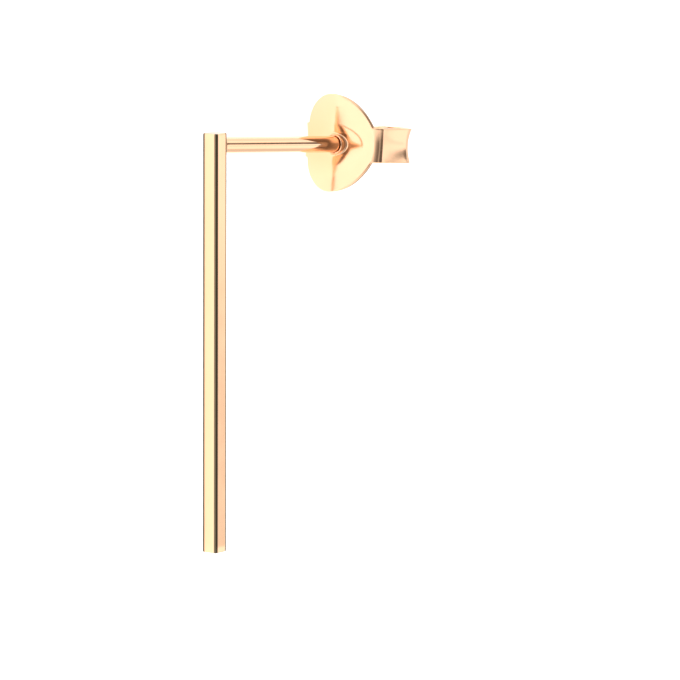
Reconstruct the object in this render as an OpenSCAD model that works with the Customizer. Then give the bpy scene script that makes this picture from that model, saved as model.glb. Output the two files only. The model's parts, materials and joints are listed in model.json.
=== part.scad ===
// A bar ear stud, lying on its side as it rests unworn: a slim square bar with a soldered ear post,
// and a butterfly clutch of thin pressed sheet that grips the post.
// Millimetres. +Y runs along the bar to its post end, +Z is up from the surface that it lies on,
// and the origin is under the middle of the whole stud.

/* [Bar] */
// Side of the square bar
bar_side = 0.83; // [0.7:0.01:2]
// Length of the bar
bar_length = 20; // [8:0.5:45]
// Rounding of the bar's long edges
bar_edge_r = 0.08; // [0.04:0.01:0.2]
// Rounding of the edges round the bar's two ends
bar_end_r = 0.05; // [0.02:0.01:0.15]

/* [Ear post] */
// Diameter of the ear post
post_d = 0.8; // [0.6:0.05:1]
// Length of the ear post from the bar's back face to its tip
post_length = 12.3; // [10:0.1:16]
// Distance from the bar's upper end to the middle of the post
post_inset = 0.62; // [0.55:0.01:6]
// Lean of the post away from square, towards the bar's long end, in degrees
post_lean = 5; // [0:0.5:10]
// Rounding of the post's tip
post_tip_r = 0.2; // [0.05:0.01:0.3]

/* [Clutch sheet] */
// Thickness of the pressed sheet
sheet_t = 0.2; // [0.14:0.01:0.28]
// Width of the clutch from one rolled side to the other, at the waist of the rolls
clutch_width = 4.46; // [3.8:0.02:6.5]
// Height of the front plate
plate_height = 4.74; // [3.8:0.02:7]
// Half-width of the oval that the plate's rim follows
rim_half = 2.05; // [1.8:0.01:3]
// How far the hole lies below the middle of the plate
hole_drop = 0.07; // [0:0.01:0.3]
// Width of the tabs that are rolled back
tab_width = 1.68; // [1.4:0.01:2.6]
// Outer radius of the fold between the plate and a tab
fold_r = 0.31; // [0.29:0.01:0.5]
// Straight length of a tab behind its fold
side_length = 1.79; // [1.2:0.01:2.5]
// Outer radius of the curl at a tab's inner end
curl_r = 0.6; // [0.45:0.01:0.75]
// Angle that the curl turns through past the post
curl_turn = 140; // [60:5:170]

/* [Clutch relief] */
// How far the plate's upper and lower rims come forward of its middle
dish_height = 0.3; // [0:0.01:0.6]
// Distance from the plate's middle over which they come forward
dish_reach = 1.9; // [1.5:0.05:3]
// How far the crown along the plate's middle bulges forward
crown_height = 0.74; // [0.5:0.01:0.9]
// How much of the crown is left at the folds
crown_side = 0.07; // [0:0.01:0.2]
// Half-width of the crown's rounded ridge
crown_soft = 0.25; // [0.1:0.01:0.6]
// Depth of the oval dimple about the hole
dimple_depth = 0.38; // [0.3:0.01:0.42]
// Half-width of the dimple
dimple_across = 1.6; // [1.2:0.01:1.8]
// Half-height of the dimple
dimple_up = 1.05; // [0.9:0.01:1.5]
// How far the rolls flare out from their waist to their edges
flare = 0.19; // [0:0.01:0.3]

/* [Clutch collar and seat] */
// Wall of the raised collar round the hole
collar_wall = 0.06; // [0.05:0.01:0.12]
// How far the collar's mouth stands in front of the folds
collar_reach = 0.72; // [0.6:0.01:1]
// Clearance between the post and the hole, all round
hole_gap = 0.04; // [0.02:0.01:0.08]
// Clearance between the post and each roll
grip_gap = 0.03; // [0.02:0.01:0.08]
// How far the post's tip stands past the line where the rolls grip it
tip_past_grip = 0.5; // [0.2:0.05:0.8]

/* [Hidden] */
$fn = 64;
GOLD = [0.95, 0.76, 0.53];

// How deep the post's root and the bore run into what they meet
overlap = 0.3;
// Steps along each stretch of half the sheet, and across it
PLATE_STEPS = 10;
FOLD_STEPS = 4;
SIDE_STEPS = 2;
ROLL_STEPS = 12;
CURL_STEPS = 8;
WIDTH_STEPS = 12;
// Share of the rolls' flare that a side has where it leaves its fold
FLARE_AT_FOLD = 0.2;
// Heading at which the rolls' flare starts to fade, and at which it is gone
FLARE_FADES = 90;
FLARE_ENDS = 210;
// Times that the search for the resting tilt halves its range, and the steepest tilt tried
TILT_HALVINGS = 24;
TILT_MOST = 45;

// Places that follow from the sizes above
half_width = clutch_width / 2;
flat_half = half_width - fold_r;
grip_across = post_d / 2 + grip_gap;
grip_deep = fold_r + side_length;
roll_r = (half_width - grip_across) / 2;
plate_seat = post_length - tip_past_grip - grip_deep;

// The sheet's path seen from above: a heading of 0 faces forward, 90 out to the side and 180 back.
// Its outer side lies towards outward(heading).
function outward(heading) = [sin(heading), -cos(heading)];
function on_arc(centre, radius, heading) = centre + radius * outward(heading);

// A station is [place on the sheet's middle line, heading, half of the sheet's width there, share of
// the plate's relief, share of the rolls' flare]
function rim_share(across) = across < rim_half ? sqrt(1 - pow(across / rim_half, 2)) : 0;
function plate_station(across) =
    [[across, sheet_t / 2], 0, max(plate_height / 2 * rim_share(across), tab_width / 2), 1, 0];
function fading_flare(heading) =
    heading < FLARE_ENDS ? pow(cos(90 * (heading - FLARE_FADES) / (FLARE_ENDS - FLARE_FADES)), 2) : 0;
function tab_station(place, heading, relief_share, flare_share) =
    [place, heading, tab_width / 2, relief_share, flare_share];
function half_sheet() = [
    for (i = [1 : PLATE_STEPS])
        plate_station(flat_half * i / PLATE_STEPS),
    for (i = [1 : FOLD_STEPS])
        let(share = i / FOLD_STEPS, place = on_arc([flat_half, fold_r], fold_r - sheet_t / 2, 90 * share))
        tab_station(place, 90 * share, 1 - share, FLARE_AT_FOLD * share),
    for (i = [1 : SIDE_STEPS])
        let(share = i / SIDE_STEPS, place = [half_width - sheet_t / 2, fold_r + side_length * share])
        tab_station(place, 90, 0, FLARE_AT_FOLD + (1 - FLARE_AT_FOLD) * share),
    for (i = [1 : ROLL_STEPS])
        let(turn = 90 + 180 * i / ROLL_STEPS)
        tab_station(on_arc([half_width - roll_r, grip_deep], roll_r - sheet_t / 2, turn), turn, 0,
            fading_flare(turn)),
    for (i = [1 : CURL_STEPS])
        let(turn = 270 + curl_turn * i / CURL_STEPS)
        tab_station(on_arc([grip_across + curl_r, grip_deep], curl_r - sheet_t / 2, turn), turn, 0, 0)
];

// How far the pressed plate stands forward of its folds, across and up from its middle
function plate_relief(across, up) =
    let(
        fall = (norm([across, crown_soft]) - crown_soft) / (norm([flat_half, crown_soft]) - crown_soft),
        crown = crown_height - (crown_height - crown_side) * fall,
        dish = dish_height * pow(sin(90 * min(1, abs(up) / dish_reach)), 2),
        from_hole = min(1, norm([across / dimple_across, (up + hole_drop) / dimple_up])),
        dimple = dimple_depth * pow(cos(90 * from_hole), 2)
    )
    crown + dish - dimple;

// A point of the sheet as [back, up, across] from the hole. side is 1 or -1 for the two halves,
// width_share runs from -1 at the lower edge to 1 at the upper edge, and skin is 1 on the outside
// and -1 inside.
function sheet_point(station, side, width_share, skin) =
    let(
        up = width_share * station[2],
        rolled = flare * station[4] * pow(width_share, 2),
        raised = station[3] * plate_relief(station[0][0], up) + rolled,
        place = station[0] + (raised + skin * sheet_t / 2) * outward(station[1])
    )
    [place[1], up + hole_drop, side * place[0]];
function sheet_row(station, side, skin) = [
    for (j = [0 : WIDTH_STEPS]) sheet_point(station, side, 2 * j / WIDTH_STEPS - 1, skin)
];

// The rows run from the inner end of one tab across the plate to the inner end of the other
right_half = half_sheet();
half_count = len(right_half);
function sheet_rows(skin) = [
    for (i = [half_count - 1 : -1 : 0]) sheet_row(right_half[i], -1, skin),
    sheet_row(plate_station(0), 1, skin),
    for (i = [0 : half_count - 1]) sheet_row(right_half[i], 1, skin)
];
outer_rows = sheet_rows(1);
inner_rows = sheet_rows(-1);
row_count = len(outer_rows);
row_size = WIDTH_STEPS + 1;
function outer_index(i, j) = i * row_size + j;
function inner_index(i, j) = (row_count + i) * row_size + j;

// Two triangles for the patch with corners a, b, c and d in turn
function patch(a, b, c, d) = [[a, b, c], [a, c, d]];
function joined(lists) = [for (one = lists) each one];
sheet_points = concat(joined(outer_rows), joined(inner_rows));
sheet_faces = joined([
    for (i = [0 : row_count - 2], j = [0 : WIDTH_STEPS - 1])
        patch(outer_index(i, j), outer_index(i, j + 1), outer_index(i + 1, j + 1), outer_index(i + 1, j)),
    for (i = [0 : row_count - 2], j = [0 : WIDTH_STEPS - 1])
        patch(inner_index(i, j), inner_index(i + 1, j), inner_index(i + 1, j + 1), inner_index(i, j + 1)),
    for (i = [0 : row_count - 2])
        patch(outer_index(i, 0), outer_index(i + 1, 0), inner_index(i + 1, 0), inner_index(i, 0)),
    for (i = [0 : row_count - 2])
        patch(outer_index(i, WIDTH_STEPS), inner_index(i, WIDTH_STEPS),
            inner_index(i + 1, WIDTH_STEPS), outer_index(i + 1, WIDTH_STEPS)),
    for (j = [0 : WIDTH_STEPS - 1])
        patch(outer_index(0, j), inner_index(0, j), inner_index(0, j + 1), outer_index(0, j + 1)),
    for (j = [0 : WIDTH_STEPS - 1])
        patch(outer_index(row_count - 1, j), outer_index(row_count - 1, j + 1),
            inner_index(row_count - 1, j + 1), inner_index(row_count - 1, j))
]);

// The resting pose. Before it is laid down, the bar's back face is at x = 0 and the post's root at
// the origin. The stud then tips about the bar until the clutch's lower roll is down too.
function seated(p) =
    let(back = p[0] + plate_seat)
    [back * cos(post_lean) + p[1] * sin(post_lean), p[1] * cos(post_lean) - back * sin(post_lean), p[2]];
clutch_points = [for (p = sheet_points) seated(p)];
function clutch_low(tilt) = min([for (p = clutch_points) p[2] * cos(tilt) + p[0] * sin(tilt)]);
function bar_low(tilt) =
    -(bar_side / 2 - bar_edge_r) * cos(tilt) - (bar_side - bar_edge_r) * sin(tilt) - bar_edge_r;
function resting_tilt(low, high, halvings) =
    let(middle = (low + high) / 2)
    halvings == 0 ? middle :
    clutch_low(middle) > bar_low(middle) ? resting_tilt(low, middle, halvings - 1)
        : resting_tilt(middle, high, halvings - 1);
tilt = resting_tilt(0, TILT_MOST, TILT_HALVINGS);
bar_front = -(bar_side - bar_edge_r) * cos(tilt) - (bar_side / 2 - bar_edge_r) * sin(tilt) - bar_edge_r;
clutch_back = max([for (p = clutch_points) p[0] * cos(tilt) - p[2] * sin(tilt)]);
bar_foot = post_inset - bar_length;
stud_head = max(post_inset, max([for (p = clutch_points) p[1]]));

module laid_down() {
    translate([-(bar_front + clutch_back) / 2, -(bar_foot + stud_head) / 2, -bar_low(tilt)])
        rotate([0, -tilt, 0])
            children();
}

// Turns +X, with its origin at the post's root, to the way the post points
module along_post() {
    rotate([0, 0, -post_lean])
        children();
}

module rounded_rectangle(width, height, radius) {
    square([width - 2 * radius, height], center = true);
    square([width, height - 2 * radius], center = true);
    for (x = [-1, 1], y = [-1, 1])
        translate([x * (width / 2 - radius), y * (height / 2 - radius)])
            circle(radius);
}

// The bar, with its back face on x = 0 and its long axis along Y
module square_bar() {
    translate([-bar_side / 2, post_inset - bar_length / 2, 0])
        intersection() {
            rotate([90, 0, 0])
                linear_extrude(bar_length, center = true)
                    rounded_rectangle(bar_side, bar_side, bar_edge_r);
            linear_extrude(bar_side, center = true)
                rounded_rectangle(bar_side, bar_length, bar_end_r);
            rotate([0, 90, 0])
                linear_extrude(bar_side, center = true)
                    rounded_rectangle(bar_side, bar_length, bar_end_r);
        }
}

// The ear post: a plain wire with a rounded tip
module ear_post() {
    rotate([0, 90, 0]) {
        translate([0, 0, -overlap])
            cylinder(h = post_length - post_tip_r + overlap, d = post_d);
        translate([0, 0, post_length - post_tip_r])
            rotate_extrude() {
                square([post_d / 2 - post_tip_r, post_tip_r]);
                intersection() {
                    translate([post_d / 2 - post_tip_r, 0])
                        circle(post_tip_r);
                    square([post_d / 2, post_tip_r]);
                }
            }
    }
}

module bar_with_post() {
    color(GOLD)
        laid_down() {
            square_bar();
            along_post()
                ear_post();
        }
}

// A round rod along the post's axis, from one distance behind the folds to another
module rod(from, to, radius) {
    translate([from, 0, 0])
        rotate([0, 90, 0])
            cylinder(h = to - from, r = radius);
}

module butterfly_clutch() {
    bore_r = post_d / 2 + hole_gap;
    collar_r = bore_r + collar_wall;
    collar_root = sheet_t / 2 - plate_relief(collar_r, -hole_drop);
    color(GOLD)
        laid_down()
            along_post()
                translate([plate_seat, 0, 0])
                    difference() {
                        union() {
                            polyhedron(sheet_points, sheet_faces);
                            rod(-collar_reach, collar_root, collar_r);
                        }
                        rod(-collar_reach - overlap, sheet_t + overlap, bore_r);
                    }
}

bar_with_post();
butterfly_clutch();
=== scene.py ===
"""Looks of the bar ear stud: a slim square bar, its ear post and a butterfly clutch, in polished
gold, lying on a pale floor. The shapes are worked out in millimetres in the worn frame: x runs
back from the bar's back face along the ear, y up the bar and z to the side, from the post's root.
laid_down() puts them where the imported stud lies."""

import json
import math

import bmesh
import bpy
import numpy as np
from bpy.props import FloatProperty, FloatVectorProperty, PointerProperty
from mathutils import Matrix, Vector


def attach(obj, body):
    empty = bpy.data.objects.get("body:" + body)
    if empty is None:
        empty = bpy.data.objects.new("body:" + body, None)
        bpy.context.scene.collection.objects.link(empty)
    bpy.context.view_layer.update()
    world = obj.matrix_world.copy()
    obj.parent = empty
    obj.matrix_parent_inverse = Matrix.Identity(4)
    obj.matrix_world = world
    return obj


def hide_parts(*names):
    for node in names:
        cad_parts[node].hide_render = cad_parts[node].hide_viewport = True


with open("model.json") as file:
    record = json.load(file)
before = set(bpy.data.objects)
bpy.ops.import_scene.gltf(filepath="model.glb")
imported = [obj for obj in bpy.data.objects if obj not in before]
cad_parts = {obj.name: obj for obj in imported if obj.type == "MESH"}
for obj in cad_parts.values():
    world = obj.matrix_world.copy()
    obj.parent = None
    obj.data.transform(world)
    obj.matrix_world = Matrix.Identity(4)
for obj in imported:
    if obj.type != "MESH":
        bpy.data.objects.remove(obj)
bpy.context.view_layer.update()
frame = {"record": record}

bl_info = {
    "name": "Bar ear stud",
    "version": (1, 0, 0),
    "blender": (4, 5, 0),
    "location": "3D View > Sidebar > Ear Stud",
    "description": "Builds a square bar ear stud with its post, butterfly clutch and studio",
    "category": "Add Mesh",
}

MM = 0.001
# Points closer than this many metres are merged
WELD = 2e-8
# The mesh attribute that says how much of the painted edge shade a point has
SHADE = "shade"

ear_post_mount = next(m for m in frame["record"]["mounts"] if m["name"] == "ear_post")
POST_ROOT = np.array(ear_post_mount["pos_m"])
POST_AXIS = np.array(ear_post_mount["axis"])
TILT = math.atan2(POST_AXIS[2], POST_AXIS[0])
POST_LEAN = math.asin(-POST_AXIS[1])
# Rows are the worn frame's x, y and z in the row frame
WORN_AXES = np.array([
    [math.cos(TILT), 0.0, math.sin(TILT)],
    [0.0, 1.0, 0.0],
    [-math.sin(TILT), 0.0, math.cos(TILT)],
])


def laid_down(points):
    """Worn millimetres to row metres: each coordinate times its worn axis, from the post's root."""
    return points @ WORN_AXES * MM + POST_ROOT


def along_post(points):
    """Turns points given as [along the post, up, side] into the worn frame, by the post's lean."""
    along, up, side = points[..., 0], points[..., 1], points[..., 2]
    cos, sin = math.cos(POST_LEAN), math.sin(POST_LEAN)
    return np.stack([along * cos + up * sin, up * cos - along * sin, side], axis=-1)


def degrees(turn):
    """Degrees to radians, for arrays."""
    return np.asarray(turn) * math.pi / 180


def grid_faces(rows, columns, ring=False):
    """Quads of a grid numbered row by row; ring joins its last column to its first."""
    i, j = np.meshgrid(np.arange(rows - 1), np.arange(columns - (not ring)), indexing="ij")
    k = (j + 1) % columns
    quads = [i * columns + j, i * columns + k, (i + 1) * columns + k, (i + 1) * columns + j]
    return np.stack(quads, axis=-1).reshape(-1, 4)


def finished_piece(name, points, faces, body, material, replaced, shade=None):
    """Makes the mesh, merges its doubles, turns its faces outwards and puts it on its body.
    shade, where given, says how much of the painted edge shade each point has, from 0 to 1."""
    mesh = bpy.data.meshes.new(name)
    mesh.from_pydata(laid_down(points.reshape(-1, 3)), [], faces.tolist())
    if shade is not None:
        layer = mesh.attributes.new(SHADE, "FLOAT", "POINT")
        layer.data.foreach_set("value", shade.ravel().astype(np.float32))
    shell = bmesh.new()
    shell.from_mesh(mesh)
    bmesh.ops.remove_doubles(shell, verts=shell.verts, dist=WELD)
    bmesh.ops.dissolve_degenerate(shell, edges=shell.edges, dist=WELD)
    bmesh.ops.recalc_face_normals(shell, faces=shell.faces)
    if any(not edge.is_manifold for edge in shell.edges):
        raise RuntimeError(f"{name} isn't a closed surface")
    if shell.calc_volume(signed=True) < 0:
        bmesh.ops.reverse_faces(shell, faces=shell.faces)
    shell.to_mesh(mesh)
    shell.free()
    mesh.polygons.foreach_set("use_smooth", np.ones(len(mesh.polygons), dtype=bool))
    mesh.materials.append(material)
    piece = bpy.data.objects.new(name, mesh)
    bpy.context.scene.collection.objects.link(piece)
    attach(piece, body)
    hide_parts(replaced)
    return piece


def length(name, description, millimetres, least=0.0):
    """A length property; its default is given in millimetres."""
    return FloatProperty(
        name=name, description=description, default=millimetres * MM, min=least * MM,
        unit="LENGTH", precision=5,
    )


def angle(name, description, turn):
    """An angle property; its default is given in degrees."""
    return FloatProperty(
        name=name, description=description, default=math.radians(turn), subtype="ANGLE",
    )


def amount(name, description, default, least=0.0, most=1.0):
    """A plain number between two limits."""
    return FloatProperty(name=name, description=description, default=default, min=least, max=most)


def colour(name, description, default):
    """A colour, as linear red, green and blue."""
    return FloatVectorProperty(
        name=name, description=description, default=default, size=3, min=0.0, max=1.0,
        subtype="COLOR",
    )


class StudBar(bpy.types.PropertyGroup):
    """Sizes of the square bar."""

    side: length("Side", "Side of the square bar", 0.83)
    length: length("Length", "Length of the bar", 20.0)
    edge_round: length("Long edges", "How far the rounding of a long edge reaches", 0.098)
    end_round: length("End edges", "Rounding of the edges round the two ends", 0.06)
    post_inset: length("Post inset", "From the bar's upper end to the middle of the post", 0.62)


class StudPost(bpy.types.PropertyGroup):
    """Sizes of the ear post."""

    diameter: length("Diameter", "Diameter of the wire", 0.8)
    length: length("Length", "From the bar's back face to the tip", 12.3)
    tip_round: length("Tip", "Rounding of the tip", 0.2)
    solder_reach: length("Solder", "Reach of the solder up and down the bar", 0.12)
    solder_side: length("Solder at the sides", "Reach of the solder to the bar's sides", 0.012)


class StudClutch(bpy.types.PropertyGroup):
    """Sizes of the butterfly clutch and its pressed sheet."""

    sheet: length("Sheet", "Thickness of the sheet", 0.2)
    edge_round: length("Sheet edge", "Rounding of the sheet's cut edges", 0.06)
    width: length("Width", "From one rolled side to the other", 4.46)
    plate_height: length("Plate height", "Height of the front plate", 4.74)
    rim_half: length("Rim", "Half-width of the oval that the rim follows", 2.05)
    rim_fillet: length("Rim corner", "Softness of the corner between rim and tab", 0.12)
    hole_drop: length("Hole drop", "How far the hole lies below the plate's middle", 0.07)
    tab_width: length("Tab width", "Width of the tabs that are rolled back", 1.68)
    fold_round: length("Fold", "Outer radius of the fold beside the plate", 0.31)
    side_length: length("Side length", "Straight length of a tab behind its fold", 1.79)
    curl_round: length("Curl", "Outer radius of the curl at a tab's end", 0.6)
    curl_turn: angle("Curl turn", "Turn of the curl past the post", 140.0)
    dish_height: length("Dish", "How far the upper and lower rims come forward", 0.3)
    dish_reach: length("Dish reach", "Distance over which they come forward", 1.9)
    crown_height: length("Crown", "How far the plate's middle bulges forward", 0.74)
    crown_side: length("Crown at the folds", "How much of the crown is left at the folds", 0.07)
    crown_soft: length("Crown softness", "Half-width of the crown's rounded ridge", 0.25)
    dimple_depth: length("Dimple depth", "Depth of the oval dimple about the hole", 0.38)
    dimple_across: length("Dimple width", "Half-width of the dimple", 1.6)
    dimple_up: length("Dimple height", "Half-height of the dimple", 1.05)
    flare: length("Flare", "How far the rolls flare out to their edges", 0.19)
    collar_wall: length("Collar wall", "Wall of the raised collar", 0.06)
    collar_reach: length("Collar reach", "How far the collar's mouth stands forward", 0.72)
    collar_foot: length("Collar foot", "Rounding at the collar's foot", 0.12)
    hole_gap: length("Hole gap", "Clearance between the post and the hole", 0.04)
    grip_gap: length("Grip gap", "Clearance between the post and each roll", 0.03)
    tip_past_grip: length("Tip past grip", "How far the post stands past the rolls' grip", 0.5)


class StudFinish(bpy.types.PropertyGroup):
    """Colour and polish of the gold."""

    gold: colour("Gold", "Colour of the polished gold", (1.0, 0.62, 0.385))
    warm_gold: colour(
        "Warmer gold", "Colour where the gold shows a little redder", (1.0, 0.6, 0.365)
    )
    # The edge shade is painted shade: a dark tint that stands in for the dark reflections along the
    # edges
    painted_edge_shade: colour(
        "Edge shade", "Colour of the bar's long edges and the sheet's cut edges", (0.13, 0.1, 0.062)
    )
    polish: amount("Roughness", "Roughness of the best polished places", 0.07)
    haze: amount("Haze", "Roughness added where the polish is dull", 0.06)


class StudStudio(bpy.types.PropertyGroup):
    """Camera, floor and light."""

    camera_turn: angle("Camera turn", "Camera's turn about the bar, from straight in front", 36.335)
    camera_rise: angle("Camera rise", "Camera's height angle towards the bar's post end", 8.63)
    camera_roll: angle("Camera roll", "Camera's roll", 0.242)
    camera_distance: length("Camera distance", "From the post's root to the camera", 280.0)
    camera_right: length(
        "Shift to the right", "How far the post's root lies to the right of the view's middle",
        -5.631, least=-1000.0,
    )
    camera_up: length(
        "Shift up", "How far the post's root lies above the view's middle", 9.164, least=-1000.0
    )
    lens_mm: FloatProperty(
        name="Lens", description="Focal length on a 36 mm sensor", default=315.164,
        min=1.0, max=2000.0, unit="CAMERA",
    )
    floor: colour("Floor", "Colour of the pale floor", (0.86, 0.86, 0.86))
    key_power: FloatProperty(
        name="Key light", description="Power of the broad soft light above the floor", default=15.0,
        min=0.0, unit="POWER",
    )


GROUPS = {
    "stud_bar": StudBar,
    "stud_post": StudPost,
    "stud_clutch": StudClutch,
    "stud_finish": StudFinish,
    "stud_studio": StudStudio,
}


class InMillimetres:
    """A settings group read in millimetres."""

    def __init__(self, group):
        self.group = group

    def __getattr__(self, name):
        return getattr(self.group, name) / MM


# A Mix node's colour sockets, by their numbers
MIX_A, MIX_B, MIX_RESULT = 6, 7, 2
# The gold's patterns, each with its scale per metre: redder clouds, gentle swells, dull patches
# and fine polishing lines
CLOUD_SCALE, SWELL_SCALE, DULL_SCALE, LINE_SCALE = 260.0, 420.0, 900.0, 9000.0
# Heights of the swells and of the polishing lines, in metres
SWELL_HEIGHT, LINE_HEIGHT = 3e-6, 4e-7
LINE_STRENGTH = 0.35
# The shade attribute's values where the painted edge shade starts and where it is full
SHADE_STARTS, SHADE_FULL = 0.42, 0.82
# The polishing lines' scale on each axis, so that they run along the bar, along the post and up
# the clutch
BAR_GRAIN, POST_GRAIN, CLUTCH_GRAIN = (1.0, 0.03, 1.0), (0.03, 1.0, 1.0), (1.0, 0.2, 1.0)
# Roughness that the pressed sheet has beyond the bar's and the post's
CLUTCH_DULLER = 0.07
# The floor's mottle: its scale per metre and how dark it gets
MOTTLE_SCALE, MOTTLE_DARKEST = 60.0, 0.99


def shader_nodes(tree):
    """A function that adds a node to the tree, sets its values and joins its sockets."""

    def node(kind, inputs=None, **attributes):
        made = tree.nodes.new(kind)
        for name, value in attributes.items():
            setattr(made, name, value)
        for name, value in (inputs or {}).items():
            if isinstance(value, bpy.types.NodeSocket):
                tree.links.new(value, made.inputs[name])
            else:
                made.inputs[name].default_value = value
        return made

    return node


def polished_gold(name, finish, grain, duller=0.0):
    """Gold with faint redder clouds, gentle swells, dull patches and fine polishing lines. grain
    scales the lines on each axis, so that they run along the axis with the smallest number."""
    material = bpy.data.materials.new(name)
    material.use_nodes = True
    tree = material.node_tree
    tree.nodes.clear()
    node = shader_nodes(tree)
    place = node("ShaderNodeTexCoord").outputs["Object"]
    clouds = node("ShaderNodeTexNoise", {"Vector": place, "Scale": CLOUD_SCALE, "Detail": 3.0})
    cloudy = node("ShaderNodeMapRange", {
        "Value": clouds.outputs["Fac"], "From Min": 0.4, "From Max": 0.7,
    }).outputs["Result"]
    tint = node("ShaderNodeMix", {
        "Factor": cloudy, MIX_A: (*finish.gold, 1.0), MIX_B: (*finish.warm_gold, 1.0),
    }, data_type="RGBA").outputs[MIX_RESULT]
    # The shade attribute blends in the painted edge shade, a dark tint standing in for the dark
    # reflections along the edges
    painted_shade_share = node("ShaderNodeMapRange", {
        "Value": node("ShaderNodeAttribute", attribute_name=SHADE).outputs["Fac"],
        "From Min": SHADE_STARTS, "From Max": SHADE_FULL,
    }).outputs["Result"]
    tint = node("ShaderNodeMix", {
        "Factor": painted_shade_share, MIX_A: tint, MIX_B: (*finish.painted_edge_shade, 1.0),
    }, data_type="RGBA").outputs[MIX_RESULT]
    lines_at = node("ShaderNodeMapping", {"Vector": place, "Scale": grain}).outputs["Vector"]
    lines = node("ShaderNodeTexNoise", {"Vector": lines_at, "Scale": LINE_SCALE, "Detail": 2.0})
    dull = node("ShaderNodeTexNoise", {"Vector": place, "Scale": DULL_SCALE, "Detail": 4.0})
    roughness = node("ShaderNodeMapRange", {
        "Value": dull.outputs["Fac"], "From Min": 0.35, "From Max": 0.75,
        "To Min": finish.polish + duller, "To Max": finish.polish + finish.haze + duller,
    })
    swell = node("ShaderNodeTexNoise", {"Vector": place, "Scale": SWELL_SCALE, "Detail": 1.0})
    soft = node("ShaderNodeBump", {
        "Height": swell.outputs["Fac"], "Strength": 1.0, "Distance": SWELL_HEIGHT,
    })
    fine = node("ShaderNodeBump", {
        "Height": lines.outputs["Fac"], "Strength": LINE_STRENGTH, "Distance": LINE_HEIGHT,
        "Normal": soft.outputs["Normal"],
    })
    surface = node("ShaderNodeBsdfPrincipled", {
        "Base Color": tint,
        "Metallic": 1.0, "Roughness": roughness.outputs["Result"],
        "Normal": fine.outputs["Normal"],
    })
    node("ShaderNodeOutputMaterial", {"Surface": surface.outputs["BSDF"]})
    return material


def pale_floor(tone):
    """A plain matt floor with a barely seen mottle."""
    material = bpy.data.materials.new("pale_floor")
    material.use_nodes = True
    tree = material.node_tree
    tree.nodes.clear()
    node = shader_nodes(tree)
    place = node("ShaderNodeTexCoord").outputs["Object"]
    mottle = node("ShaderNodeTexNoise", {"Vector": place, "Scale": MOTTLE_SCALE, "Detail": 2.0})
    shade = node("ShaderNodeMapRange", {
        "Value": mottle.outputs["Fac"],
        "To Min": tone[0] * MOTTLE_DARKEST, "To Max": tone[0],
    })
    surface = node("ShaderNodeBsdfPrincipled", {
        "Base Color": shade.outputs["Result"], "Roughness": 0.9, "Specular IOR Level": 0.0,
    })
    node("ShaderNodeOutputMaterial", {"Surface": surface.outputs["BSDF"]})
    return material


# The bar's outline: points round a corner and along a flat side, and the superellipse's power
CORNER_POINTS = 10
FLAT_POINTS = 8
CORNER_POWER = 2.5
# Rows along the bar, rows round each end's edge, and the rings that close an end, as shares
BAR_ROWS = 60
END_ROWS = 7
END_RINGS = (0.0, 0.4, 0.8)
# How much of the painted edge shade the bar's long edges, its end faces and the sheet's cut edges
# have; it stands in for dark reflections and dims the end faces' reflection
BAR_EDGE_SHADE = 1.0
BAR_END_SHADE = 0.68
SHEET_EDGE_SHADE = 0.68


def square_outline(half, corner):
    """Outline of a square, at each row's half side. Each quarter runs up a flat side and round a
    corner, which is a quarter of a superellipse, so that it leaves the flat without a break:
    half - corner + corner * cos(turn) ** (2 / power), and the same with sin. The other three
    quarters are the first one turned by 90 degrees each."""
    half, corner = half[:, None], corner[:, None]
    flat = np.linspace(-1, 1, FLAT_POINTS)[None, 1:-1] * (half - corner)
    turn = degrees(np.linspace(0, 90, CORNER_POINTS))[None]
    bend_x = half - corner + corner * np.cos(turn).clip(0) ** (2 / CORNER_POWER)
    bend_y = half - corner + corner * np.sin(turn).clip(0) ** (2 / CORNER_POWER)
    x = np.concatenate([half + 0 * flat, bend_x], axis=1)
    y = np.concatenate([flat, bend_y], axis=1)
    return (
        np.concatenate([x, -y, -x, y], axis=1),
        np.concatenate([y, x, -y, -x], axis=1),
    )


def bar_surface(bar):
    """The bar: a square outline carried along its length. Round each end the outline draws in by
    end_round * (1 - sin) while it goes on by end_round * (1 - cos), and rings that shrink to the
    middle close the end. The painted shade lies on the long edges' corners and on the end faces."""
    round_ = bar.end_round
    turn = degrees(np.linspace(0, 90, END_ROWS))
    rings = len(END_RINGS)
    draw_in = np.concatenate([np.full(rings, round_), round_ * (1 - np.sin(turn))])
    along = np.concatenate([np.zeros(rings), round_ * (1 - np.cos(turn))])
    share = np.concatenate([END_RINGS, np.ones(len(turn))])
    middle = np.linspace(round_, bar.length - round_, BAR_ROWS)[1:-1]
    draw_in = np.concatenate([draw_in, 0 * middle, draw_in[::-1]])
    share = np.concatenate([share, 1 + 0 * middle, share[::-1]])
    along = np.concatenate([along, middle, bar.length - along[::-1]])
    half = bar.side / 2
    x, z = square_outline(half - draw_in, bar.edge_round - draw_in)
    x, z = x * share[:, None], z * share[:, None]
    y = along[:, None] + bar.post_inset - bar.length
    points = np.stack([x - half, y + 0 * x, z], axis=-1)
    # Painted shade: full on the long edges' corners and partial on the end faces, standing in for
    # dark reflections there
    quarter = np.concatenate([np.zeros(FLAT_POINTS - 2), np.ones(CORNER_POINTS)])
    at_end = (along == 0) | (along == bar.length)
    shade = np.where(at_end[:, None], BAR_END_SHADE, BAR_EDGE_SHADE * np.tile(quarter, 4))
    return points, grid_faces(*x.shape, ring=True), shade


# Sides of the post's circle, and rows along it and round its tip
POST_SIDES = 96
POST_ROWS = 60
TIP_ROWS = 10
# Millimetres: how deep the root goes into the bar, where the solder's rows end, and how far from
# the bar the rows still lie askew
ROOT_DEPTH = 0.1
SOLDER_ROWS_END = 0.3
ASKEW_REACH = 1.0
# The higher this power, the narrower the solder's reach up and down the bar
SOLDER_POWER = 4


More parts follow.
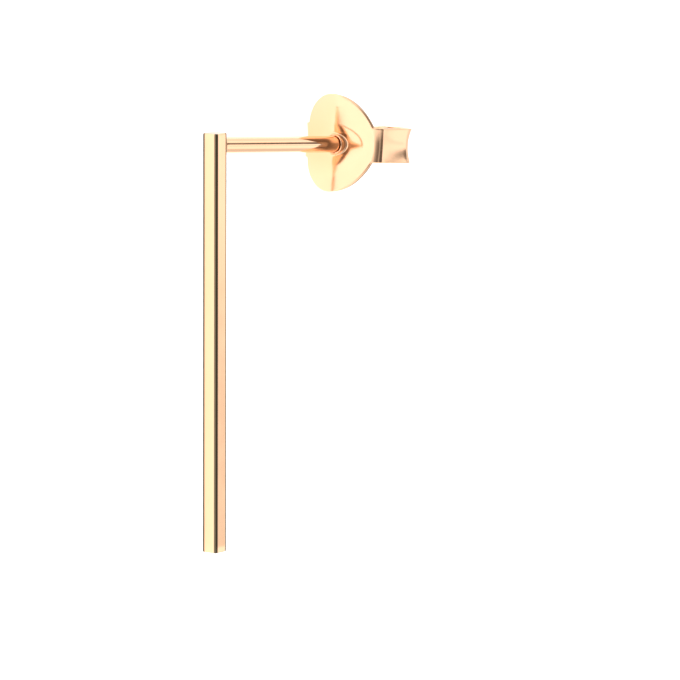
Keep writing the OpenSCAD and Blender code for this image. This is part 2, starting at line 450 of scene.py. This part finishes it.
def post_surface(post):
    """The post: a circle carried along its axis. Its radius follows a rounded tip, and at the
    bar a hollow of solder, radius + reach * (1 - sqrt(1 - (1 - along / reach) ** 2)), whose reach
    is long up and down the bar and short to its sides. The root's rings lie along the bar's
    back face, which the post's lean meets askew."""
    radius, tip = post.diameter / 2, post.tip_round
    turn = degrees(np.linspace(0, 90, TIP_ROWS))
    root = [-ROOT_DEPTH, -ROOT_DEPTH]
    hollow = post.solder_reach * (1 - np.cos(turn))
    straight = np.linspace(SOLDER_ROWS_END, post.length - tip, POST_ROWS)
    round_ = post.length - tip + tip * np.sin(turn[1:])
    along = np.concatenate([root, hollow, straight, round_, [post.length]])
    size = np.concatenate([
        [0.0], np.full(1 + len(hollow) + len(straight), radius),
        radius - tip + tip * np.cos(turn[1:]), [0.0],
    ])
    rise = 1 - np.clip(along / post.solder_reach, 0, 1)
    swell = (1 - np.sqrt(1 - rise**2)) * (size > 0)
    around = degrees(np.arange(POST_SIDES) * 360 / POST_SIDES)[None]
    narrow = np.cos(around) ** SOLDER_POWER
    reach = post.solder_side + (post.solder_reach - post.solder_side) * narrow
    ring = size[:, None] + swell[:, None] * reach
    up, side = ring * np.cos(around), ring * np.sin(around)
    askew = np.clip(1 - along / ASKEW_REACH, 0, 1)[:, None]
    back = along[:, None] - askew * up * math.tan(POST_LEAN)
    points = along_post(np.stack([back, up, side], axis=-1))
    return points, grid_faces(*ring.shape, ring=True)


# Rows along each half of the sheet, part by part
PLATE_ROWS = 44
FOLD_ROWS = 20
SIDE_ROWS = 10
ROLL_ROWS = 44
CURL_ROWS = 26
# Columns over one skin, steps round a quarter of a cut edge, and the power by which a row slants
# more and more towards the rim
SKIN_COLUMNS = 53
EDGE_STEPS = 5
SLANT_POWER = 3
# The block round the hole: rows and columns from its middle to its border
BLOCK_ROWS = 24
BLOCK_COLUMNS = 15
# Its rings over the outer skin, the collar's foot, its wall and lip, down the bore, out of the
# bore and over the inner skin
OUTER_RINGS, FOOT_RINGS, WALL_RINGS, LIP_RINGS = 34, 9, 7, 11
BORE_RINGS, LEAVING_RINGS, INNER_RINGS = 9, 5, 22
# Rounding where the bore meets the inner skin, and the step that the rim's slope is taken over,
# in millimetres
BORE_ROUND = 0.04
SLOPE_STEP = 1e-4
# Share of the rolls' flare that the side has where it leaves the fold, and the heading in degrees
# where the flare starts to fade and the turn over which it does
FLARE_AT_FOLD = 0.2
FLARE_FADES, FLARE_SPAN = 90, 120


class ClutchForm:
    """The formed sheet of the clutch. path is the signed distance over the flat blank from the
    hole's line to one side or the other, up the distance from the sheet's middle line."""

    def __init__(self, clutch, post):
        self.c, self.post = clutch, post
        c, half = clutch, clutch.sheet / 2
        self.half_width = c.width / 2
        self.flat_half = self.half_width - c.fold_round
        self.grip_across = post.diameter / 2 + c.grip_gap
        self.grip_deep = c.fold_round + c.side_length
        self.roll_round = (self.half_width - self.grip_across) / 2
        self.bends = [
            (c.fold_round - half, 90.0),
            (self.roll_round - half, 180.0),
            (c.curl_round - half, math.degrees(c.group.curl_turn)),
        ]
        self.arcs = [radius * math.radians(turn) for radius, turn in self.bends]
        self.stops = np.cumsum([
            self.flat_half, self.arcs[0], c.side_length, self.arcs[1], self.arcs[2],
        ])
        self.seat = post.length - c.tip_past_grip - self.grip_deep

    def half_height(self, path):
        """Half of the blank's height: the rim's oval, or the tab where that is wider, joined by
        a soft corner: the larger one plus (softness - difference) ** 2 / (4 * softness)."""
        c = self.c
        oval = c.plate_height / 2 * np.sqrt(np.clip(1 - (path / c.rim_half) ** 2, 0, 1))
        tab, soft = c.tab_width / 2, c.rim_fillet
        near = np.clip(soft - np.abs(oval - tab), 0, None)
        return np.maximum(oval, tab) + near**2 / (4 * soft)

    def relief(self, across, up):
        """How far the pressed plate stands forward: a crown that fades to the folds, a dish
        that comes forward to the upper and lower rims, less an oval dimple about the hole."""
        c = self.c
        ridge = np.hypot(self.flat_half, c.crown_soft) - c.crown_soft
        fall = (np.hypot(across, c.crown_soft) - c.crown_soft) / ridge
        dish = c.dish_height * np.sin(degrees(90 * np.clip(np.abs(up) / c.dish_reach, 0, 1))) ** 2
        from_hole = np.hypot(across / c.dimple_across, (up + c.hole_drop) / c.dimple_up)
        dimple = np.cos(degrees(90 * np.clip(from_hole, 0, 1))) ** 2
        crown = c.crown_height - (c.crown_height - c.crown_side) * fall
        return crown + dish - c.dimple_depth * dimple

    def formed(self, path, up, layer):
        """Where a point of the blank goes: the path runs across the plate, round the fold, back
        along the side, round the roll and into the curl, and the point stands off it by the
        relief or flare and by its layer in the sheet. Gives [back, up, across] from the hole."""
        c = self.c
        side, far = np.where(path < 0, -1.0, 1.0), np.abs(path)
        plate = np.minimum(far, self.stops[0])
        share = [
            np.clip((far - start) / arc, 0, 1)
            for start, arc in zip(self.stops[[0, 2, 3]], self.arcs)
        ]
        straight = np.clip(far - self.stops[1], 0, c.side_length)
        turn = [degrees(part * bend[1]) for part, bend in zip(share, self.bends)]
        fold, roll, curl = (bend[0] for bend in self.bends)
        across = (
            plate + fold * np.sin(turn[0]) + roll * (np.cos(turn[1]) - 1)
            + curl * (1 - np.cos(turn[2]))
        )
        back = (
            c.sheet / 2 + fold * (1 - np.cos(turn[0])) + straight
            + roll * np.sin(turn[1]) - curl * np.sin(turn[2])
        )
        heading = sum(turn)
        relief = (1 - share[0]) * self.relief(across, up)
        growing = share[0] * (FLARE_AT_FOLD + (1 - FLARE_AT_FOLD) * straight / c.side_length)
        past = np.clip((np.degrees(heading) - FLARE_FADES) / FLARE_SPAN, 0, 1)
        fading = np.cos(degrees(90 * past)) ** 2
        flare = c.flare * growing * fading * (up / self.half_height(far)) ** 2
        off = relief + flare + layer
        return np.stack([
            back - off * np.cos(heading), up + c.hole_drop,
            side * (across + off * np.sin(heading)),
        ], axis=-1)

    def worn(self, points):
        """Seats [back, up, across] points on the leaning post, in the worn frame."""
        return along_post(points + np.array([self.seat, 0, 0]))


def sheet_sections(form):
    """Rows along the sheet and columns round its section. A row is a place on the path; the
    section runs over the outer skin, round an edge, over the inner skin and round the other
    edge. The two end rows draw in round the sheet's ends. Gives path, up and layer."""
    c = form.c
    edge, half = c.edge_round, c.sheet / 2
    steep = math.asin(form.stops[0] / c.rim_half)
    plate = c.rim_half * np.sin(np.linspace(0, steep, PLATE_ROWS))
    counts = (FOLD_ROWS, SIDE_ROWS, ROLL_ROWS, CURL_ROWS)
    ends = form.stops - np.array([0, 0, 0, 0, edge])
    rest = [np.linspace(a, b, n + 1)[1:] for a, b, n in zip(ends[:-1], ends[1:], counts)]
    turn = degrees(np.linspace(0, 90, EDGE_STEPS + 1))
    cap = ends[-1] + edge * np.sin(turn[1:])
    draw_in = edge * (1 - np.cos(turn[1:]))
    right = np.concatenate([plate, *rest, cap])
    drawn = np.concatenate([0 * plate, *[0 * part for part in rest], draw_in])
    path = np.concatenate([-right[:0:-1], right])[:, None]
    drawn = np.concatenate([drawn[:0:-1], drawn])[:, None]
    # The rim's slope, by a small step to either side, and its outward direction
    far, small = np.abs(path), SLOPE_STEP
    slope = (form.half_height(far + small) - form.half_height(np.abs(far - small))) / (2 * small)
    slope = np.where(far < small, 0, slope) * np.sign(path)
    out_up = 1 / np.sqrt(1 + slope**2)
    out_path = -slope * out_up
    rim_path = path - edge * out_path
    rim_up = form.half_height(far) - edge * out_up
    # The outer skin and one rounded edge; the inner skin and the other edge mirror them
    share = np.linspace(-1, 1, SKIN_COLUMNS)[None]
    skin_path = path + (rim_path - path) * np.abs(share) ** SLANT_POWER
    skin_up = share * rim_up
    skin_layer = half - drawn + 0 * share
    arc = turn[None, 1:]
    reach = (edge - drawn) * np.concatenate([np.sin(arc), np.sin(arc[:, ::-1])], axis=1)
    height = half - edge + (edge - drawn) * np.cos(arc)
    lower = np.concatenate([height, -height[:, ::-1]], axis=1)
    edge_path, edge_up = rim_path + reach * out_path, rim_up + reach * out_up
    # Round the section: outer skin, upper edge, inner skin and lower edge
    columns_path = np.concatenate([skin_path, edge_path, skin_path[:, ::-1], edge_path], axis=1)
    columns_up = np.concatenate([skin_up, edge_up, skin_up[:, ::-1], -edge_up], axis=1)
    layers = np.concatenate([skin_layer, lower, -skin_layer, -lower], axis=1)
    return columns_path, columns_up, layers


def hole_block(form, path, up):
    """The block round the hole. Its rays run from the hole to the loop of skin points given by
    path and up. Ring by ring it crosses the outer skin, turns up at the collar's foot, climbs
    the wall, rounds the lip, goes down the bore and crosses the inner skin out to the loop."""
    c = form.c
    bore = form.post.diameter / 2 + c.hole_gap
    wall, foot = bore + c.collar_wall, c.collar_foot
    ray = np.arctan2(up + c.hole_drop, path)[None]
    cos, sin = np.cos(ray), np.sin(ray)

    def skin(share, inner_radius, layer):
        """Points on straight rays from a circle round the hole to the loop, on one skin."""
        share = share[:, None]
        across = (1 - share) * inner_radius * cos + share * path[None]
        high = (1 - share) * (inner_radius * sin - c.hole_drop) + share * up[None]
        return form.formed(across, high, layer)

    def ring(radius, forward):
        """Points at one radius from the hole's middle and some way forward of the folds."""
        return np.stack(np.broadcast_arrays(-forward, radius * sin, radius * cos), axis=-1)

    def forward_of(radius, layer):
        """How far forward a skin stands at a radius from the hole's middle."""
        return form.relief(radius * cos, radius * sin - c.hole_drop) + layer - c.sheet / 2

    outer = skin(np.linspace(1, 0, OUTER_RINGS), wall + foot, c.sheet / 2)
    turn = degrees(np.linspace(0, 90, FOOT_RINGS)[1:])[:, None]
    around = wall + foot * (1 - np.sin(turn))
    bend = ring(around, forward_of(around, c.sheet / 2) + foot * (1 - np.cos(turn)))
    lip = c.collar_wall / 2
    climb = np.linspace(0, 1, WALL_RINGS)[1:, None]
    low = forward_of(wall, c.sheet / 2) + foot
    up_wall = ring(wall, low + (c.collar_reach - lip - low) * climb)
    over = degrees(np.linspace(0, 180, LIP_RINGS)[1:])[:, None]
    mouth = ring(bore + lip + lip * np.cos(over), c.collar_reach - lip + lip * np.sin(over))
    down = np.linspace(0, 1, BORE_RINGS)[1:, None]
    foot_in = forward_of(bore, -c.sheet / 2) + BORE_ROUND
    inside = ring(bore, c.collar_reach - lip + (foot_in - c.collar_reach + lip) * down)
    away = degrees(np.linspace(0, 90, LEAVING_RINGS)[1:])[:, None]
    spread = bore + BORE_ROUND * (1 - np.cos(away))
    leave = ring(spread, forward_of(spread, -c.sheet / 2) + BORE_ROUND * (1 - np.sin(away)))
    inner = skin(np.linspace(0, 1, INNER_RINGS)[1:], bore + BORE_ROUND, -c.sheet / 2)
    rings = np.concatenate([outer, bend, up_wall, mouth, inside, leave, inner])
    return rings, grid_faces(*rings.shape[:2], ring=True)


def clutch_surface(clutch, post):
    """The clutch: the sheet's sections, without the skins' patches round the hole, the block
    that fills them, and the flat strips that close the sheet's two ends."""
    form = ClutchForm(clutch, post)
    path, up, layer = sheet_sections(form)
    rows, columns = path.shape
    middle, skin_middle = rows // 2, SKIN_COLUMNS // 2
    quads = grid_faces(rows, columns, ring=True)
    row, column = np.divmod(quads[:, 0], columns)
    inner_start = SKIN_COLUMNS + 2 * EDGE_STEPS
    on_skin = np.where(column < SKIN_COLUMNS, column, column - inner_start)
    in_rows = (row >= middle - BLOCK_ROWS) & (row < middle + BLOCK_ROWS)
    in_columns = (on_skin >= skin_middle - BLOCK_COLUMNS) & (on_skin < skin_middle + BLOCK_COLUMNS)
    on_skins = (column < SKIN_COLUMNS) | (column >= inner_start)
    quads = quads[~(in_rows & in_columns & on_skins)]
    # The loop of skin points round the block, once around
    r = np.arange(-BLOCK_ROWS, BLOCK_ROWS)
    k = np.arange(-BLOCK_COLUMNS, BLOCK_COLUMNS)
    loop_rows = middle + np.concatenate([r, 0 * k + BLOCK_ROWS, -r, 0 * k - BLOCK_ROWS])
    loop_columns = skin_middle + np.concatenate([
        0 * r - BLOCK_COLUMNS, k, 0 * r + BLOCK_COLUMNS, -k,
    ])
    block, block_quads = hole_block(
        form, path[loop_rows, loop_columns], up[loop_rows, loop_columns]
    )
    sheet = form.formed(path, up, layer)
    first = np.arange(SKIN_COLUMNS - 1)
    second = inner_start + SKIN_COLUMNS - 1 - first
    strip = np.stack([first, first + 1, second - 1, second], axis=-1)
    ends = np.concatenate([strip, strip + (rows - 1) * columns])
    points = np.concatenate([sheet.reshape(-1, 3), block.reshape(-1, 3)])
    faces = np.concatenate([quads, ends, block_quads + rows * columns])
    # Painted shade on the sheet's cut edges, standing in for the dark reflections along them
    edge = np.sin(degrees(np.linspace(0, 180, 2 * EDGE_STEPS)))
    section = np.concatenate([np.zeros(SKIN_COLUMNS), edge, np.zeros(SKIN_COLUMNS), edge])
    shade = np.concatenate([
        SHEET_EDGE_SHADE * np.tile(section, rows), np.zeros(block[..., 0].size),
    ])
    return form.worn(points), faces, shade


def settings(context, name):
    """One group of the scene's settings, with its lengths in millimetres."""
    return InMillimetres(getattr(context.scene, name))


class STUD_OT_square_bar(bpy.types.Operator):
    """Build the square bar in polished gold"""

    bl_idname = "stud.square_bar"
    bl_label = "Square bar"

    def execute(self, context):
        points, faces, shade = bar_surface(settings(context, "stud_bar"))
        gold = polished_gold("bar_gold", context.scene.stud_finish, BAR_GRAIN)
        finished_piece(
            "square_bar", points, faces, "earring", gold, "bar_with_post", shade
        )
        return {"FINISHED"}


class STUD_OT_ear_post(bpy.types.Operator):
    """Build the ear post with the solder at its root"""

    bl_idname = "stud.ear_post"
    bl_label = "Ear post"

    def execute(self, context):
        points, faces = post_surface(settings(context, "stud_post"))
        gold = polished_gold("post_gold", context.scene.stud_finish, POST_GRAIN)
        finished_piece("ear_post", points, faces, "earring", gold, "bar_with_post")
        return {"FINISHED"}


class STUD_OT_butterfly_clutch(bpy.types.Operator):
    """Build the butterfly clutch from its pressed and rolled sheet"""

    bl_idname = "stud.butterfly_clutch"
    bl_label = "Butterfly clutch"

    def execute(self, context):
        points, faces, shade = clutch_surface(
            settings(context, "stud_clutch"), settings(context, "stud_post")
        )
        finish = context.scene.stud_finish
        gold = polished_gold("clutch_gold", finish, CLUTCH_GRAIN, CLUTCH_DULLER)
        finished_piece(
            "butterfly_clutch_sheet", points, faces, "clutch", gold,
            "butterfly_clutch", shade,
        )
        return {"FINISHED"}


# The tent's brightness round the bar, as (degrees, brightness): 0 is behind the camera and 90 to
# the view's right. The floor hides what lies below -26 and above 154
TENT_ROUND = (
    (-180, 1.0), (-120, 1.42), (-36, 1.42), (-26, 1.3), (-17, 0.95), (-10, 0.7), (0, 0.45),
    (10, 0.3), (20, 0.2), (33, 0.16), (38, 0.5), (48, 0.5), (54, 0.14), (88, 0.12),
    (96, 0.2), (101, 1.25), (104, 1.42), (117, 1.42), (127, 0.95), (180, 0.9),
)
# Dimmer spots of the tent: the middle, as angles round the bar and towards its upper end, the
# radii where the spot is dimmest and where it ends, and its brightness
TENT_SPOTS = (
    # An opening on the far side, which the post's dark line mirrors
    (114.0, 10.0, 6.5, 11.0, 0.12),
    # A patch low on the far side, which the bar's right face mirrors
    (106.5, -8.0, 1.2, 3.2, 0.95),
    # A broad patch below the post, which its lower side mirrors
    (140.0, -36.0, 13.0, 21.0, 0.86),
)
# How much of TENT_ROUND counts at an angle towards the bar's upper end, as (degrees, share)
OPEN_SIDE = ((-90, 0.0), (-32, 0.0), (-14, 1.0), (30, 1.0), (46, 0.0), (90, 0.0))
# The brightness that the ramps' white stands for, and the share of it where TENT_ROUND doesn't
# count
TENT_MOST = 1.5
TENT_ENDS = 0.95
# The key light's width and place, the floor's half-width, and the camera's nearest and farthest
# view, in metres
KEY_SIZE = 1.2
KEY_PLACE = (-0.3, 0.0, 0.95)
FLOOR_REACH = 2.0
VIEW_NEAR, VIEW_FAR = 0.01, 10.0
# The sensor's width, which the lens is given for
SENSOR_MM = 36.0


def ramp(node, value, stops, low, high):
    """A grey ramp through (place, brightness) stops, with places from low to high."""
    made = node("ShaderNodeValToRGB", {"Fac": node("ShaderNodeMapRange", {
        "Value": value, "From Min": math.radians(low), "From Max": math.radians(high),
    }).outputs["Result"]})
    band = made.color_ramp.elements
    while len(band) < len(stops):
        band.new(0.5)
    for element, (place, bright) in zip(band, stops):
        element.position = (place - low) / (high - low)
        element.color = (bright, bright, bright, 1.0)
    return made.outputs["Color"]


def spot_direction(view, round_bar, to_end):
    """The direction at an angle round the bar from the camera and an angle towards its end."""
    right, up, back = view
    level = right * math.sin(round_bar) + back * math.cos(round_bar)
    return level * math.cos(to_end) + up * math.sin(to_end)


def tent_world(studio, view):
    """A light tent that is open above the camera. Its brightness follows the angle round the bar,
    evens out towards the bar's two ends, and drops in a few spots. Seen directly it is white."""
    world = bpy.data.worlds.new("tent")
    world.use_nodes = True
    tree = world.node_tree
    tree.nodes.clear()
    node = shader_nodes(tree)
    toward = node("ShaderNodeTexCoord").outputs["Generated"]

    def share(axis):
        return node(
            "ShaderNodeVectorMath", {0: toward, 1: tuple(axis)}, operation="DOT_PRODUCT"
        ).outputs["Value"]

    right, up, back = (share(axis) for axis in view)
    round_bar = node("ShaderNodeMath", {0: right, 1: back}, operation="ARCTAN2").outputs["Value"]
    to_end = node("ShaderNodeMath", {0: up}, operation="ARCSINE").outputs["Value"]
    scaled = [(place, bright / TENT_MOST) for place, bright in TENT_ROUND]
    tent = ramp(node, round_bar, scaled, -180, 180)
    open_side = ramp(node, to_end, OPEN_SIDE, -90, 90)
    bright = node("ShaderNodeMix", {
        "Factor": open_side, MIX_A: (TENT_ENDS, TENT_ENDS, TENT_ENDS, 1.0), MIX_B: tent,
    }, data_type="RGBA").outputs[MIX_RESULT]
    for spot_round, spot_to_end, dimmest, ends, brightness in TENT_SPOTS:
        middle = spot_direction(view, math.radians(spot_round), math.radians(spot_to_end))
        inside = node("ShaderNodeMapRange", {
            "Value": share(middle), "From Min": math.cos(math.radians(ends)),
            "From Max": math.cos(math.radians(dimmest)),
        }, interpolation_type="SMOOTHSTEP").outputs["Result"]
        grey = brightness / TENT_MOST
        bright = node("ShaderNodeMix", {
            "Factor": inside, MIX_A: bright, MIX_B: (grey, grey, grey, 1.0),
        }, data_type="RGBA").outputs[MIX_RESULT]
    lit = node("ShaderNodeBackground", {"Color": bright, "Strength": TENT_MOST})
    pale = node("ShaderNodeBackground", {"Color": (1.0, 1.0, 1.0, 1.0), "Strength": 1.0})
    seen = node("ShaderNodeMixShader", {
        0: node("ShaderNodeLightPath").outputs["Is Camera Ray"],
        1: lit.outputs["Background"], 2: pale.outputs["Background"],
    })
    node("ShaderNodeOutputWorld", {"Surface": seen.outputs["Shader"]})
    return world


def camera_axes(studio):
    """Rows are the view's right, up and back in the worn frame: forward is set by turn and rise,
    right lies square to it and to the bar, and both roll about it."""
    turn, rise, roll = studio.camera_turn, studio.camera_rise, studio.camera_roll
    forward = np.array([
        math.cos(turn) * math.cos(rise), -math.sin(rise), -math.sin(turn) * math.cos(rise),
    ])
    right = np.cross(forward, [0, 1, 0])
    right /= np.linalg.norm(right)
    up = np.cross(right, forward)
    cos, sin = math.cos(roll), math.sin(roll)
    return np.array([right * cos + up * sin, up * cos - right * sin, -forward])


class STUD_OT_studio(bpy.types.Operator):
    """Set up the pale floor, the soft light and the camera"""

    bl_idname = "stud.studio"
    bl_label = "Studio"

    def execute(self, context):
        scene, studio = context.scene, context.scene.stud_studio
        axes = camera_axes(studio)
        self.add_camera(scene, studio, axes)
        self.add_floor(scene, studio)
        self.add_lights(scene, studio, axes @ WORN_AXES)
        scene.view_settings.view_transform = "Standard"
        return {"FINISHED"}

    def add_camera(self, scene, studio, axes):
        """The camera looks forward from its distance, moved so that the root lies off the
        view's middle as set."""
        place = (
            -studio.camera_right * axes[0] - studio.camera_up * axes[1]
            + studio.camera_distance * axes[2]
        )
        data = bpy.data.cameras.new("camera")
        data.sensor_width = SENSOR_MM
        data.lens = studio.lens_mm
        data.clip_start, data.clip_end = VIEW_NEAR, VIEW_FAR
        camera = bpy.data.objects.new("camera", data)
        pose = np.eye(4)
        pose[:3, :3] = (axes @ WORN_AXES).T
        pose[:3, 3] = place @ WORN_AXES + POST_ROOT
        camera.matrix_world = Matrix(pose.tolist())
        scene.collection.objects.link(camera)
        scene.camera = camera

    def add_floor(self, scene, studio):
        """A wide flat square under the stud."""
        mesh = bpy.data.meshes.new("floor")
        turns = ((-1, -1), (1, -1), (1, 1), (-1, 1))
        corners = [(x * FLOOR_REACH, y * FLOOR_REACH, 0) for x, y in turns]
        mesh.from_pydata(corners, [], [(0, 1, 2, 3)])
        mesh.materials.append(pale_floor(studio.floor))
        floor = bpy.data.objects.new("floor", mesh)
        scene.collection.objects.link(floor)

    def add_lights(self, scene, studio, view):
        """The tent's light, and one broad light above that the metal doesn't mirror and that
        casts no shadow."""
        scene.world = tent_world(studio, view)
        data = bpy.data.lights.new("key", "AREA")
        data.shape = "DISK"
        data.size = KEY_SIZE
        data.energy = studio.key_power
        data.use_shadow = False
        key = bpy.data.objects.new("key", data)
        key.location = KEY_PLACE
        key.rotation_euler = Vector(KEY_PLACE).to_track_quat("Z", "Y").to_euler()
        scene.collection.objects.link(key)
        key.visible_glossy = False
        key.visible_camera = False


class STUD_PT_panel(bpy.types.Panel):
    """The stud's operators and settings"""

    bl_idname = "STUD_PT_panel"
    bl_label = "Bar ear stud"
    bl_space_type = "VIEW_3D"
    bl_region_type = "UI"
    bl_category = "Ear Stud"

    def draw(self, context):
        for operator, groups in PANEL_ROWS:
            box = self.layout.box()
            box.operator(operator.bl_idname)
            for group in groups:
                settings_group = getattr(context.scene, group)
                for name in GROUPS[group].__annotations__:
                    box.prop(settings_group, name)


OPERATORS = (STUD_OT_square_bar, STUD_OT_ear_post, STUD_OT_butterfly_clutch, STUD_OT_studio)
PANEL_ROWS = (
    (STUD_OT_square_bar, ("stud_bar", "stud_finish")),
    (STUD_OT_ear_post, ("stud_post",)),
    (STUD_OT_butterfly_clutch, ("stud_clutch",)),
    (STUD_OT_studio, ("stud_studio",)),
)


def register():
    """Registers the classes and hangs the settings on the scene."""
    for made in (*GROUPS.values(), *OPERATORS, STUD_PT_panel):
        bpy.utils.register_class(made)
    for name, group in GROUPS.items():
        setattr(bpy.types.Scene, name, PointerProperty(type=group))


def unregister():
    """Takes the settings and the classes away again."""
    for name in GROUPS:
        delattr(bpy.types.Scene, name)
    for made in reversed((*GROUPS.values(), *OPERATORS, STUD_PT_panel)):
        bpy.utils.unregister_class(made)


def main():
    """Builds the stud and its studio."""
    register()
    bpy.ops.stud.square_bar()
    bpy.ops.stud.ear_post()
    bpy.ops.stud.butterfly_clutch()
    bpy.ops.stud.studio()


if __name__ == "__main__":
    main()
